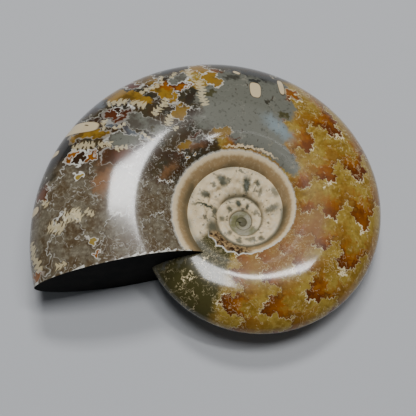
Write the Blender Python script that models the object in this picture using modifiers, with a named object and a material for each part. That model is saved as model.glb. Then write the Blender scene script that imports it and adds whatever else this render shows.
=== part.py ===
"""A polished fossil ammonite of the cleoniceras kind, lying on its side.

The shell is a logarithmic spiral: every whorl has the same section, turned about the coil axis
and grown by a constant factor. A straight saw cut ends it at the mouth. Metres, +Z up.
"""
import math

import bmesh
import bpy
from mathutils import Matrix, Vector

# Driving dimensions of the coil
SHELL_RADIUS = 0.0534                      # coil axis to the outer rim, at RIM_ANGLE
RIM_ANGLE = math.radians(198.0)            # where SHELL_RADIUS is measured, about the coil axis
TURN_GROWTH = 2.095                        # how much a whorl grows in one turn
TURNS = 4.2                                # whorls from the core to the mouth
STEPS_PER_TURN = 60

# Half section of a whorl, as shares of its radius: from the seam on the whorl before,
# up the umbilical wall, over the crest of the flank and down to the outer rim
SEAM_REACH = 0.272
CREST_REACH = 0.543
CREST_HEIGHT = 0.206
SHOULDER_POWER = 2.2                       # how the flank turns down into the umbilicus
WALL_POWER = 1.25                          # how steep the umbilical wall gets at the seam
FLANK_POWER = 2.0                          # how the flank falls away from the crest
RIM_POWER = 1.7                            # how the outer rim rounds over
WALL_SPANS = 7                             # facets from the seam up to the overlap line
FLANK_SPANS = 8                            # facets from the overlap line out to the rim

# The saw cut at the mouth
SAW_ANGLE = math.radians(192.3)            # direction of the cut, seen from above
SAW_OFFSET = 0.00915                       # distance of the cut from the coil axis
COIL_END = math.radians(240.0)             # the coil is made this far, past the saw cut
FLANK_START = math.radians(-162.0)         # where the flank is made from, short of the saw cut
SAW_REACH = math.radians(75.0)             # the saw meets no more than this much of the coil

# How the fossil rests: the thick mouth stands a little higher than the thin side across
PITCH = math.radians(2.8)                  # about +Y, lifts the mouth
ROLL = math.radians(-1.9)                  # about +X, lifts the near side
REST_FLAT_DEPTH = 0.0003                   # worn off underneath, where it rests
CUTTER_SIZE = 4.0 * SHELL_RADIUS

CORE_RISE = 0.35                           # height of the core's dome, as a share of its radius
SHELL_COLOUR = (0.30, 0.22, 0.10, 1.0)     # olive amber
SHELL_ROUGHNESS = 0.2
SMOOTH_ANGLE = math.radians(40.0)          # edges sharper than this stay sharp
WELD = 0.00001                             # vertices closer than this are one

STEP_ANGLE = 2.0 * math.pi / STEPS_PER_TURN
STEP_GROWTH = TURN_GROWTH ** (1.0 / STEPS_PER_TURN)
QUARTER_TURN = 0.5 * math.pi
SAW_NORMAL = Vector((-math.sin(SAW_ANGLE), math.cos(SAW_ANGLE), 0.0))


def flank_height(reach):
    """Height of the section beyond the crest, at a distance from the coil axis, as shares."""
    share = (reach - CREST_REACH) / (1.0 - CREST_REACH)
    return CREST_HEIGHT * (1.0 - share ** FLANK_POWER) ** (1.0 / RIM_POWER)


# A whorl's seam lies on the flank of the whorl before it, which is one growth smaller
OVERLAP_REACH = SEAM_REACH * TURN_GROWTH
SEAM_HEIGHT = flank_height(OVERLAP_REACH) / TURN_GROWTH


def wall_profile():
    """The part of the half section that stays in sight: from the seam to the overlap line."""
    points = []
    for index in range(WALL_SPANS):
        turn = QUARTER_TURN * (1.0 - index / WALL_SPANS)
        inward = math.sin(turn) ** (2.0 / SHOULDER_POWER)
        upward = math.cos(turn) ** (2.0 / WALL_POWER)
        points.append((CREST_REACH - (CREST_REACH - SEAM_REACH) * inward,
                       SEAM_HEIGHT + (CREST_HEIGHT - SEAM_HEIGHT) * upward))
    points.append((OVERLAP_REACH, flank_height(OVERLAP_REACH)))
    return points


def flank_profile():
    """The part that the next whorl covers: from the overlap line to the outer rim."""
    first = math.asin((OVERLAP_REACH - CREST_REACH) / (1.0 - CREST_REACH))
    points = []
    for index in range(FLANK_SPANS):
        turn = first + (QUARTER_TURN - first) * index / FLANK_SPANS
        reach = CREST_REACH + (1.0 - CREST_REACH) * math.sin(turn)
        points.append((reach, flank_height(reach)))
    points.append((1.0, 0.0))
    return points


def on_coil(angle, reach, height):
    """The place of a section point when its section stands at an angle of the coil."""
    size = SHELL_RADIUS * TURN_GROWTH ** ((angle - RIM_ANGLE) / (2.0 * math.pi))
    return Vector((size * reach * math.cos(angle), size * reach * math.sin(angle), size * height))


def sweep(mesh, profile, steps):
    """Carry a profile along the coil up to its end, growing it; return the faces of each step."""
    start = COIL_END - steps * STEP_ANGLE
    corners = [mesh.verts.new(on_coil(start, *point)) for point in profile]
    edges = [mesh.edges.new(pair) for pair in zip(corners, corners[1:])]
    turn_and_grow = Matrix.Rotation(STEP_ANGLE, 3, "Z") * STEP_GROWTH
    spans = []
    for _ in range(steps):
        grown = bmesh.ops.extrude_edge_only(mesh, edges=edges)["geom"]
        corners = {item for item in grown if isinstance(item, bmesh.types.BMVert)}
        bmesh.ops.transform(mesh, matrix=turn_and_grow, verts=list(corners))
        spans.append([item for item in grown if isinstance(item, bmesh.types.BMFace)])
        edges = [item for item in grown
                 if isinstance(item, bmesh.types.BMEdge) and corners.issuperset(item.verts)]
    return spans


def saw(mesh, spans, keep_before):
    """Cut these steps of the coil along the saw plane and drop one side."""
    faces = [face for span in spans for face in span]
    edges = {edge for face in faces for edge in face.edges}
    corners = {corner for face in faces for corner in face.verts}
    bmesh.ops.bisect_plane(mesh, geom=[*faces, *edges, *corners],
                           plane_co=SAW_NORMAL * SAW_OFFSET, plane_no=SAW_NORMAL,
                           clear_outer=keep_before, clear_inner=not keep_before)


def on_mid_plane(corner):
    return abs(corner.co.z) < WELD


def on_saw_plane(corner):
    return abs(corner.co.dot(SAW_NORMAL) - SAW_OFFSET) < WELD


def close_mouth(mesh):
    """Fill the saw cut of the half shell, with one straight edge along the mid-plane."""
    outline = [edge for edge in mesh.edges
               if edge.is_boundary and all(on_saw_plane(corner) for corner in edge.verts)]
    tips = {corner for edge in outline for corner in edge.verts if on_mid_plane(corner)}
    outline.append(mesh.edges.new(tips))
    bmesh.ops.triangle_fill(mesh, edges=outline, use_beauty=True)


def close_core(mesh):
    """Close the innermost turn with a small dome, the first chamber of the young shell."""
    rim = [edge for edge in mesh.edges
           if edge.is_boundary and not all(on_mid_plane(corner) for corner in edge.verts)]
    corners = {corner for edge in rim for corner in edge.verts}
    radius = sum(corner.co.xy.length for corner in corners) / len(corners)
    cap = bmesh.ops.contextual_create(mesh, geom=rim)["faces"]
    top = bmesh.ops.poke(mesh, faces=cap)["verts"][0]
    top.co.z += CORE_RISE * radius


def half_shell():
    """The upper half of the fossil, open along the mid-plane, about the coil axis."""
    mesh = bmesh.new()
    wall = sweep(mesh, wall_profile(), round(TURNS * STEPS_PER_TURN))
    flank = sweep(mesh, flank_profile(), round((COIL_END - FLANK_START) / STEP_ANGLE))
    reach = round(SAW_REACH / STEP_ANGLE)
    saw(mesh, wall[-reach:] + flank[-reach:], keep_before=True)
    saw(mesh, flank[:reach], keep_before=False)
    bmesh.ops.remove_doubles(mesh, verts=mesh.verts, dist=WELD)
    close_mouth(mesh)
    close_core(mesh)
    bmesh.ops.recalc_face_normals(mesh, faces=mesh.faces)
    data = bpy.data.meshes.new("ammonite")
    mesh.to_mesh(data)
    mesh.free()
    return data


def polished_shell():
    material = bpy.data.materials.new("polished shell")
    material.use_nodes = True
    shader = material.node_tree.nodes["Principled BSDF"]
    shader.inputs["Base Color"].default_value = SHELL_COLOUR
    shader.inputs["Roughness"].default_value = SHELL_ROUGHNESS
    shader.inputs["Metallic"].default_value = 0.0
    return material


def make_fossil(collection):
    """Both halves of the shell as one object, still about its coil axis."""
    data = half_shell()
    data.materials.append(polished_shell())
    data.shade_smooth()
    data.set_sharp_from_angle(angle=SMOOTH_ANGLE)
    fossil = bpy.data.objects.new("ammonite", data)
    collection.objects.link(fossil)
    mirror = fossil.modifiers.new("both halves", "MIRROR")
    mirror.use_axis = (False, False, True)
    mirror.merge_threshold = WELD
    return fossil


def stand_on_floor(fossil):
    """Tilt the fossil as it rests and centre it over the origin, sunk by the flat's depth."""
    fossil.rotation_euler = (ROLL, PITCH, 0.0)
    bpy.context.view_layer.update()
    shaped = fossil.evaluated_get(bpy.context.evaluated_depsgraph_get())
    places = [shaped.matrix_world @ corner.co for corner in shaped.data.vertices]
    low = Vector([min(place[axis] for place in places) for axis in range(3)])
    high = Vector([max(place[axis] for place in places) for axis in range(3)])
    middle = (low + high) / 2.0
    fossil.location = (-middle.x, -middle.y, -low.z - REST_FLAT_DEPTH)


def wear_flat(fossil, collection):
    """Take off what lies below the floor, so that the fossil has a flat to rest on."""
    bpy.ops.mesh.primitive_cube_add(size=CUTTER_SIZE, location=(0.0, 0.0, -CUTTER_SIZE / 2.0))
    block = bpy.context.active_object
    block.name = "floor cutter"
    block.hide_render = True
    block.display_type = "WIRE"
    for group in list(block.users_collection):
        group.objects.unlink(block)
    collection.objects.link(block)
    cut = fossil.modifiers.new("rest flat", "BOOLEAN")
    cut.operation = "DIFFERENCE"
    cut.object = block


def main():
    for old in list(bpy.data.objects):
        bpy.data.objects.remove(old, do_unlink=True)
    pieces = bpy.data.collections.new("cleoniceras ammonite")
    cutters = bpy.data.collections.new("cutters")
    bpy.context.scene.collection.children.link(pieces)
    bpy.context.scene.collection.children.link(cutters)
    fossil = make_fossil(pieces)
    stand_on_floor(fossil)
    wear_flat(fossil, cutters)


main()
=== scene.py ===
"""The finish of a polished fossil ammonite: its grown surface, its sutures and stains.

The shell is turned up as one closed mesh about its coil axis, laid down as the frame lays it,
and coloured along the coil and across the whorl. Metres, +Z up.
"""
import math

import bmesh
import bpy
import numpy as np
from mathutils import Matrix, Vector


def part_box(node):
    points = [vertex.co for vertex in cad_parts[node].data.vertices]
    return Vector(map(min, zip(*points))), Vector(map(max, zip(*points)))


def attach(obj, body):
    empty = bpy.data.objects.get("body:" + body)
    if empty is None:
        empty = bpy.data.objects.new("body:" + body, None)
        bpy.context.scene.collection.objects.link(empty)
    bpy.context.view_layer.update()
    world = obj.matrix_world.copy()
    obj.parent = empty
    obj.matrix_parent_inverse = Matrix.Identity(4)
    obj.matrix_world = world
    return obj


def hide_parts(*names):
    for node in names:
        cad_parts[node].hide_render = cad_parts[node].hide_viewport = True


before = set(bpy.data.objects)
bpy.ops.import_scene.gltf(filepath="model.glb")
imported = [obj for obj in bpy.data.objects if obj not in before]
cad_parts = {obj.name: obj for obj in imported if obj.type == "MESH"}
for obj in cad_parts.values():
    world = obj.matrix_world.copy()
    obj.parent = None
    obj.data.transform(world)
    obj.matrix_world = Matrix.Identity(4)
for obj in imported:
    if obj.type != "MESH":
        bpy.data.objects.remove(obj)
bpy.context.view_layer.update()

MM = 0.001

# The coil, with the same driving dimensions as the solid it stands for
SHELL_RADIUS = 53.4 * MM                   # coil axis to the outer rim, at RIM_ANGLE
RIM_ANGLE = math.radians(198.0)
TURN_GROWTH = 2.095
TURNS = 4.2
SEAM_REACH = 0.272
CREST_REACH = 0.543
CREST_HEIGHT = 0.206
SHOULDER_POWER = 2.2
WALL_POWER = 1.25
FLANK_POWER = 2.0
RIM_POWER = 1.7
SAW_ANGLE = math.radians(192.3)
SAW_OFFSET = 9.15 * MM
COIL_END = math.radians(240.0)
FLANK_START = math.radians(-162.0)
SAW_REACH = math.radians(75.0)
PITCH = math.radians(2.8)
ROLL = math.radians(-1.9)

# How finely the surface is made
STEPS_PER_TURN = 300
WALL_SPANS = 22                            # from the seam up to the overlap line
FLANK_SPANS = 44                           # from the overlap line out to the rim
SEAM_WELD = 0.005 * MM
CUT_SNAP = 0.0001 * MM
SMOOTH_ANGLE = math.radians(38.0)
CORE_RISE = 0.35                           # height of the core's dome, as a share of its radius

# The sawn edge round the mouth, brown with a painted highlight
LIP_WIDTH = 0.32 * MM
LIP_REACH = 13.0 * MM                      # how far left of the coil axis it starts

# The earlier whorls are bumpy, and the core lies off the axis of the last whorl
WORN_START = math.radians(-150.0)          # the whorls before this coil angle are worn
WORN_FADE = math.radians(25.0)             # over which the wear comes in
WORN_DEPTH = 3.4 * MM                      # of the deepest hollow and highest bump together
WORN_SCALE = 2.6 * MM
CORE_SPOT = (0.0, 0.0)
CORE_HOLD = 1.0 * MM                       # what lies this near the spot moves by the whole shift
CORE_SHIFT = (0.0, -1.8 * MM, 0.0)
CORE_FADE = 12.5 * MM                      # how far past that the shift dies out
NODE_SPOT = (-9.4 * MM, -1.2 * MM)         # the swollen node beside the core
NODE_HOLD = 1.6 * MM
NODE_SHIFT = (0.0, 0.0, 1.3 * MM)
NODE_FADE = 3.4 * MM

# Slots of the shell's materials
SHELL_SLOT = 0
CUT_SLOT = 1
LIP_SLOT = 2
FACING_DOWN = -0.999                       # the normal of a worn flat rises less than this
FACING_ASIDE = 0.1                         # the normal of the cut is within this of level

TURN = 2.0 * math.pi
STEP_ANGLE = TURN / STEPS_PER_TURN
STEP_GROWTH = TURN_GROWTH ** (1.0 / STEPS_PER_TURN)
QUARTER_TURN = 0.5 * math.pi
SAW_NORMAL = Vector((-math.sin(SAW_ANGLE), math.cos(SAW_ANGLE), 0.0))

# The map of the surface: U is the coil angle in radians, and V is half a unit plus a part of
# the distance from the outer rim in local radii, so the mirrored half runs on below the rim
MAP_NAME = "coil"
MAP_SHRINK = 4.0
UNDERSIDE_SHIFT = 0.24                     # the markings underneath lie this much further back
UNDERSIDE_MARGIN = 0.35                    # and drift there over this much below the rim


# The section of a whorl


def flank_height(reach):
    share = (reach - CREST_REACH) / (1.0 - CREST_REACH)
    return CREST_HEIGHT * np.clip(1.0 - share ** FLANK_POWER, 0.0, None) ** (1.0 / RIM_POWER)


OVERLAP_REACH = SEAM_REACH * TURN_GROWTH
SEAM_HEIGHT = float(flank_height(OVERLAP_REACH)) / TURN_GROWTH
OVERLAP_LEAN = math.asin((OVERLAP_REACH - CREST_REACH) / (1.0 - CREST_REACH))


def section(lean):
    """Reach and height of the section, from the seam (a quarter turn back) to the rim."""
    lean = np.asarray(lean, float)
    inward = np.abs(np.sin(np.minimum(lean, 0.0))) ** (2.0 / SHOULDER_POWER)
    upward = np.abs(np.cos(lean)) ** (2.0 / WALL_POWER)
    outward = np.sin(np.maximum(lean, 0.0))
    reach = np.where(lean < 0.0,
                     CREST_REACH - (CREST_REACH - SEAM_REACH) * inward,
                     CREST_REACH + (1.0 - CREST_REACH) * outward)
    height = np.where(lean < 0.0,
                      SEAM_HEIGHT + (CREST_HEIGHT - SEAM_HEIGHT) * upward,
                      CREST_HEIGHT * np.abs(np.cos(lean)) ** (2.0 / RIM_POWER))
    return reach, height


def lean_at(reach, height):
    """The lean of a point of the section, found back from its reach and height."""
    inward = np.clip((CREST_REACH - reach) / (CREST_REACH - SEAM_REACH), 0.0, None)
    upward = np.clip((height - SEAM_HEIGHT) / (CREST_HEIGHT - SEAM_HEIGHT), 0.0, None)
    outward = np.clip((reach - CREST_REACH) / (1.0 - CREST_REACH), 0.0, None)
    over = np.clip(height / CREST_HEIGHT, 0.0, None)
    wall = -np.arctan2(inward ** (SHOULDER_POWER / 2.0), upward ** (WALL_POWER / 2.0))
    flank = np.arctan2(outward, over ** (RIM_POWER / 2.0))
    return np.where(reach < CREST_REACH, wall, flank)


# Arc length along the section, and the same arc measured in local radii, seam to rim
LEANS = np.linspace(-QUARTER_TURN, QUARTER_TURN, 2001)
REACHES, HEIGHTS = section(LEANS)
ARCS = np.hypot(np.diff(REACHES), np.diff(HEIGHTS))
ARC_SHARES = np.concatenate([[0.0], np.cumsum(ARCS)]) / ARCS.sum()
ROUNDS = np.concatenate([[0.0], np.cumsum(2.0 * ARCS / (REACHES[1:] + REACHES[:-1]))])
FROM_RIM = ROUNDS[-1] - ROUNDS
OVERLAP_FROM_RIM = float(np.interp(OVERLAP_LEAN, LEANS, FROM_RIM))


def across(share):
    """Distance from the outer rim in local radii, for a share of the arc from the seam."""
    return float(np.interp(share, ARC_SHARES, FROM_RIM))


def coil_size(angle):
    return SHELL_RADIUS * TURN_GROWTH ** ((angle - RIM_ANGLE) / TURN)


def on_coil(angle, reach, height):
    size = coil_size(angle)
    return Vector((size * reach * math.cos(angle), size * reach * math.sin(angle), size * height))


# Making the shell


def deselect_all():
    if bpy.context.mode != "OBJECT":
        bpy.ops.object.mode_set(mode="OBJECT")
    bpy.ops.object.select_all(action="DESELECT")


def take(piece):
    """Make a piece the only selected one, and the active one."""
    deselect_all()
    piece.select_set(True)
    bpy.context.view_layer.objects.active = piece


def edit(piece, mode="FACE"):
    take(piece)
    bpy.ops.object.mode_set(mode="EDIT")
    bpy.ops.mesh.select_mode(type=mode)
    bpy.ops.mesh.select_all(action="DESELECT")


def pick(piece, kind, wanted):
    """Select the faces, edges or corners of the piece in edit mode that fit the wanted test."""
    mesh = bmesh.from_edit_mesh(piece.data)
    for item in getattr(mesh, kind):
        item.select_set(bool(wanted(item)))
    mesh.select_flush_mode()
    bmesh.update_edit_mesh(piece.data)


def apply_modifier(piece, modifier):
    take(piece)
    bpy.ops.object.modifier_apply(modifier=modifier.name)


def coil_band(name, leans, steps):
    """A band of the shell's wall: one step of it is shaped, then turned and grown inward."""
    spans = len(leans) - 1
    deselect_all()
    bpy.ops.mesh.primitive_grid_add(x_subdivisions=1, y_subdivisions=spans, size=1.0)
    band = bpy.context.active_object
    band.name = name
    reaches, heights = section(leans)
    for corner in band.data.vertices:
        row = round((corner.co.y + 0.5) * spans)
        angle = COIL_END - (STEP_ANGLE if corner.co.x < 0.0 else 0.0)
        corner.co = on_coil(angle, float(reaches[row]), float(heights[row]))
    bpy.ops.object.empty_add(rotation=(0.0, 0.0, -STEP_ANGLE))
    inward = bpy.context.active_object
    inward.scale = (1.0 / STEP_GROWTH,) * 3
    coil = band.modifiers.new("coil", "ARRAY")
    coil.use_relative_offset = False
    coil.use_object_offset = True
    coil.offset_object = inward
    coil.count = steps
    coil.use_merge_vertices = True
    coil.merge_threshold = SEAM_WELD
    apply_modifier(band, coil)
    bpy.data.objects.remove(inward)
    return band


def read(items, name, width=3):
    values = np.empty(len(items) * width)
    items.foreach_get(name, values)
    return values.reshape(-1, width) if width > 1 else values


def chart(band, low_reach):
    """Write the map of the band: coil angle along it, distance from the rim across it."""
    data = band.data
    places = read(data.vertices, "co")
    middles = read(data.polygons, "center")
    corners = read(data.loops, "vertex_index", 1).astype(int)
    faces = np.repeat(np.arange(len(middles)), read(data.polygons, "loop_total", 1).astype(int))
    bearing = np.arctan2(middles[:, 1], middles[:, 0])
    radius = np.hypot(middles[:, 0], middles[:, 1])
    farthest = RIM_ANGLE + TURN * np.log(radius / (SHELL_RADIUS * low_reach)) / math.log(TURN_GROWTH)
    angle = bearing + TURN * np.floor((farthest - bearing) / TURN)
    spots = places[corners]
    shift = np.arctan2(spots[:, 1], spots[:, 0]) - bearing[faces]
    along = angle[faces] + (shift + math.pi) % TURN - math.pi
    size = SHELL_RADIUS * TURN_GROWTH ** ((along - RIM_ANGLE) / TURN)
    lean = lean_at(np.hypot(spots[:, 0], spots[:, 1]) / size, spots[:, 2] / size)
    from_rim = np.interp(lean, LEANS, FROM_RIM)
    while data.uv_layers:
        data.uv_layers.remove(data.uv_layers[0])
    layer = data.uv_layers.new(name=MAP_NAME)
    layer.data.foreach_set("uv", np.stack([along, 0.5 + from_rim / MAP_SHRINK], 1).ravel())


def wear(wall):
    """Bumps and hollows on the earlier whorls, with none at their seams."""
    worn = wall.vertex_groups.new(name="worn")
    layer = wall.data.uv_layers[MAP_NAME].data
    seen = {}
    for loop in wall.data.loops:
        along, map_over = layer[loop.index].uv
        seen[loop.vertex_index] = (along, (map_over - 0.5) * MAP_SHRINK)
    for index, (along, from_rim) in seen.items():
        rise = (FROM_RIM[0] - from_rim) / (FROM_RIM[0] - OVERLAP_FROM_RIM)
        fade = math.sin(math.pi * min(max(rise, 0.0), 1.0))
        early = min(max((WORN_START - along) / WORN_FADE, 0.0), 1.0)
        worn.add([index], fade * early * coil_size(along) / coil_size(WORN_START), "REPLACE")
    clouds = bpy.data.textures.new("bumps", "CLOUDS")
    clouds.noise_scale = WORN_SCALE
    bumps = wall.modifiers.new("bumps", "DISPLACE")
    bumps.texture = clouds
    bumps.texture_coords = "LOCAL"
    bumps.strength = WORN_DEPTH
    bumps.mid_level = 0.5
    bumps.vertex_group = worn.name
    apply_modifier(wall, bumps)


def nudge(wall, spot, hold, shift, fade):
    """Move the surface round a spot, and less and less of it up to a distance from there."""
    edit(wall, "VERT")
    pick(wall, "verts", lambda corner: (corner.co.xy - Vector(spot)).length < hold)
    bpy.ops.transform.translate(value=shift, use_proportional_edit=True,
                                proportional_edit_falloff="SMOOTH", proportional_size=fade)
    bpy.ops.object.mode_set(mode="OBJECT")


def saw(band, along_test, drop_beyond=False, drop_before=False):
    """Cut the faces of a stretch of the band along the saw plane, and drop one side or none."""
    edit(band)
    mesh = bmesh.from_edit_mesh(band.data)
    layer = mesh.loops.layers.uv[MAP_NAME]
    for face in mesh.faces:
        face.select_set(along_test(face.loops[0][layer].uv.x))
    bmesh.update_edit_mesh(band.data)
    bpy.ops.mesh.bisect(plane_co=SAW_NORMAL * SAW_OFFSET, plane_no=SAW_NORMAL,
                        clear_outer=drop_beyond, clear_inner=drop_before, threshold=CUT_SNAP)
    bpy.ops.object.mode_set(mode="OBJECT")


def on_saw_plane(corner):
    return abs(corner.co.dot(SAW_NORMAL) - SAW_OFFSET) < SEAM_WELD


def close_core(shell):
    """Close the innermost turn with a small dome, the first chamber of the young shell."""
    edit(shell, "EDGE")
    pick(shell, "edges", lambda edge: edge.is_boundary and not all(
        abs(corner.co.z) < SEAM_WELD or on_saw_plane(corner) for corner in edge.verts))
    mesh = bmesh.from_edit_mesh(shell.data)
    rim = [corner for corner in mesh.verts if corner.select]
    middle = sum((corner.co for corner in rim), Vector()) / len(rim)
    radius = sum((corner.co - middle).xy.length for corner in rim) / len(rim)
    for lift, shrink in ((0.5, 0.8), (0.35, 0.6), (0.15, 0.3)):
        bpy.ops.mesh.extrude_region_move(
            TRANSFORM_OT_translate={"value": (0.0, 0.0, CORE_RISE * radius * lift)})
        bpy.ops.transform.resize(value=(shrink, shrink, 1.0), center_override=middle)
    bpy.ops.mesh.edge_face_add()
    bpy.ops.object.mode_set(mode="OBJECT")


def close_mouth(shell):
    """Fill the sawn mouth, and give the cut face and its edge, brown with a painted highlight, their
    own slots.
    """
    edit(shell, "EDGE")
    pick(shell, "edges",
         lambda edge: edge.is_boundary and all(on_saw_plane(corner) for corner in edge.verts))
    bpy.ops.mesh.fill()
    for _ in range(3):
        bpy.ops.object.material_slot_add()
    bpy.ops.object.mode_set(mode="OBJECT")
    for face in shell.data.polygons:
        beyond = face.center.dot(SAW_NORMAL) - SAW_OFFSET
        if abs(beyond) < SEAM_WELD and abs(face.normal.z) < FACING_ASIDE:
            face.material_index = CUT_SLOT
        elif -LIP_WIDTH < beyond < 0.0 and face.center.x < -LIP_REACH:
            face.material_index = LIP_SLOT


def chart_flats(shell):
    """Give the worn flats underneath the finish and the map of the shell round them.

    A corner that touches no shell, because it is on the mouth's edge, takes its map from the
    others of its flat, the nearest ones most.
    """
    layer = shell.data.uv_layers[MAP_NAME].data
    loops = shell.data.loops
    around = {}
    flats = []
    for face in shell.data.polygons:
        if face.center.z < SEAM_WELD and face.normal.z < FACING_DOWN:
            flats.append(face)
        elif face.material_index != CUT_SLOT:
            around.update((loops[corner].vertex_index, tuple(layer[corner].uv))
                          for corner in face.loop_indices)
    for face in flats:
        face.material_index = SHELL_SLOT
        known = [corner for corner in face.vertices if corner in around]
        places = np.array([shell.data.vertices[corner].co for corner in known])
        charted = np.array([around[corner] for corner in known])
        for corner in face.loop_indices:
            vertex = shell.data.vertices[loops[corner].vertex_index]
            away = np.linalg.norm(places - np.array(vertex.co), axis=1) + SEAM_WELD
            layer[corner].uv = np.average(charted, axis=0, weights=away ** -4.0)


def lay_down(shell):
    """Tilt the shell as the fossil rests, fit it in the solid's box and wear its flats."""
    low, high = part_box("ammonite")
    tilt = Matrix.Rotation(PITCH, 4, "Y") @ Matrix.Rotation(ROLL, 4, "X")
    places = read(shell.data.vertices, "co") @ np.array(tilt.to_3x3()).T
    own_low, own_high = places.min(0), places.max(0)
    fit = min((high[axis] - low[axis]) / (own_high[axis] - own_low[axis]) for axis in (0, 1))
    middle = (own_low + own_high) * fit / 2.0
    shift = Vector(((low.x + high.x) / 2.0 - middle[0], (low.y + high.y) / 2.0 - middle[1],
                    high.z - own_high[2] * fit))
    place = Matrix.Translation(shift) @ Matrix.Scale(fit, 4) @ tilt
    shell.matrix_world = place
    take(shell)
    bpy.ops.object.transform_apply(location=True, rotation=True, scale=True)
    edit(shell)
    bpy.ops.mesh.select_all(action="SELECT")
    bpy.ops.mesh.bisect(plane_co=(0.0, 0.0, 0.0), plane_no=(0.0, 0.0, 1.0),
                        clear_inner=True, use_fill=True, threshold=CUT_SNAP)
    bpy.ops.object.mode_set(mode="OBJECT")
    chart_flats(shell)
    return place


def make_shell():
    """The whole shell, laid down, and how its coil axis was carried there."""
    wall_leans = np.interp(np.linspace(0.0, ARC_SHARES[np.searchsorted(LEANS, OVERLAP_LEAN)],
                                       WALL_SPANS + 1), ARC_SHARES, LEANS)
    wall_leans[-1] = OVERLAP_LEAN
    flank_leans = np.interp(np.linspace(np.interp(OVERLAP_LEAN, LEANS, ARC_SHARES), 1.0,
                                        FLANK_SPANS + 1), ARC_SHARES, LEANS)
    flank_leans[0] = OVERLAP_LEAN
    wall = coil_band("wall", wall_leans, round(TURNS * STEPS_PER_TURN))
    flank = coil_band("flank", flank_leans, round((COIL_END - FLANK_START) / STEP_ANGLE))
    chart(wall, SEAM_REACH)
    chart(flank, OVERLAP_REACH)
    wear(wall)
    nudge(wall, CORE_SPOT, CORE_HOLD, CORE_SHIFT, CORE_FADE)
    nudge(wall, NODE_SPOT, NODE_HOLD, NODE_SHIFT, NODE_FADE)
    late = COIL_END - SAW_REACH
    early = FLANK_START + SAW_REACH
    saw(wall, lambda along: along > late, drop_beyond=True)
    saw(wall, lambda along: late - TURN < along < early)
    saw(flank, lambda along: along > late, drop_beyond=True)
    saw(flank, lambda along: along < early, drop_before=True)
    take(wall)
    flank.select_set(True)
    bpy.ops.object.join()
    shell = bpy.context.active_object
    shell.name = "polished_shell"
    edit(shell)
    bpy.ops.mesh.select_all(action="SELECT")
    bpy.ops.mesh.remove_doubles(threshold=SEAM_WELD)
    bpy.ops.object.mode_set(mode="OBJECT")
    close_core(shell)
    halves = shell.modifiers.new("both halves", "MIRROR")
    halves.use_axis = (False, False, True)
    halves.merge_threshold = SEAM_WELD
    halves.use_mirror_v = True
    apply_modifier(shell, halves)
    close_mouth(shell)
    edit(shell)
    bpy.ops.mesh.select_all(action="SELECT")
    bpy.ops.mesh.normals_make_consistent(inside=False)
    bpy.ops.object.mode_set(mode="OBJECT")
    place = lay_down(shell)
    take(shell)
    bpy.ops.object.shade_smooth_by_angle(angle=SMOOTH_ANGLE)
    return shell, place


# Camera, floor and lights

VIEW_ELEVATION = math.radians(68.084)      # of the camera, in the coil's own frame
VIEW_TILT = math.radians(6.303)            # of the coil's plane, to the side
VIEW_DISTANCE = 232.729 * MM
VIEW_ASIDE = 8.457 * MM                    # how far right of the view's middle the coil axis is
VIEW_ABOVE = -2.263 * MM
FRAME_PIXELS = 416.0
PIXELS_PER_MM = 4.0
SENSOR = 36.0
NEAREST_SEEN = 10.0 * MM


def set_camera(place):
    """The camera of the photograph, carried from the coil's own frame to where it lies."""
    tilt, lift = VIEW_TILT, VIEW_ELEVATION
    right = Vector((math.cos(tilt), 0.0, math.sin(tilt)))
    up = Vector((-math.cos(lift) * math.sin(tilt), math.sin(lift), math.cos(lift) * math.cos(tilt)))
    back = right.cross(up)
    eye = -VIEW_ASIDE * right - VIEW_ABOVE * up + VIEW_DISTANCE * back
    turned = Matrix((right, up, back)).transposed().to_4x4()
    data = bpy.data.cameras.new("camera")
    data.sensor_width = SENSOR
    data.lens = SENSOR * PIXELS_PER_MM * (VIEW_DISTANCE / MM) / FRAME_PIXELS
    data.clip_start = NEAREST_SEEN
    camera = bpy.data.objects.new("camera", data)
    bpy.context.scene.collection.objects.link(camera)
    spin = place.to_quaternion().to_matrix().to_4x4()
    camera.matrix_world = Matrix.Translation(place @ eye) @ spin @ turned
    bpy.context.scene.camera = camera


def soft_light(name, aside, beyond, width, height, watts, turn):
    """A panel of soft light, facing the fossil from the direction (aside, beyond, up)."""
    data = bpy.data.lights.new(name, "AREA")
    data.shape = "RECTANGLE"
    data.size = width
    data.size_y = height
    data.energy = watts
    light = bpy.data.objects.new(name, data)
    bpy.context.scene.collection.objects.link(light)
    up = math.sqrt(1.0 - aside ** 2 - beyond ** 2)
    aim = Vector((aside, beyond, up))
    side = Vector((math.cos(turn), math.sin(turn), 0.0))
    across_panel = aim.cross(side).normalized()
    along_panel = across_panel.cross(aim)
    facing = Matrix((along_panel, across_panel, aim)).transposed()
    light.matrix_world = Matrix.Translation(aim * LIGHT_DISTANCE) @ facing.to_4x4()


LIGHT_DISTANCE = 1.0
# Name, direction aside and beyond, width, height, watts and turn about the direction
LIGHTS = (
    ("far panel", -0.05, 0.515, 0.30, 0.14, 5.0, 0.0),
    ("high panel", -0.07, 0.10, 0.22, 0.30, 4.2, 0.0),
    ("strip", 0.22, 0.16, 0.38, 0.06, 2.8, -0.35),
)
SKY_COLOUR = (0.86, 0.93, 1.0, 1.0)
SKY_STRENGTH = 0.09
FLOOR_SIZE = 3.0
FLOOR_COLOUR = (0.44, 0.45, 0.47, 1.0)
FLOOR_ROUGHNESS = 0.9


def set_lights():
    world = bpy.data.worlds.new("studio")
    bpy.context.scene.world = world
    world.use_nodes = True
    sky = world.node_tree.nodes["Background"].inputs
    sky["Color"].default_value = SKY_COLOUR
    sky["Strength"].default_value = SKY_STRENGTH
    for light in LIGHTS:
        soft_light(*light)


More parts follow.
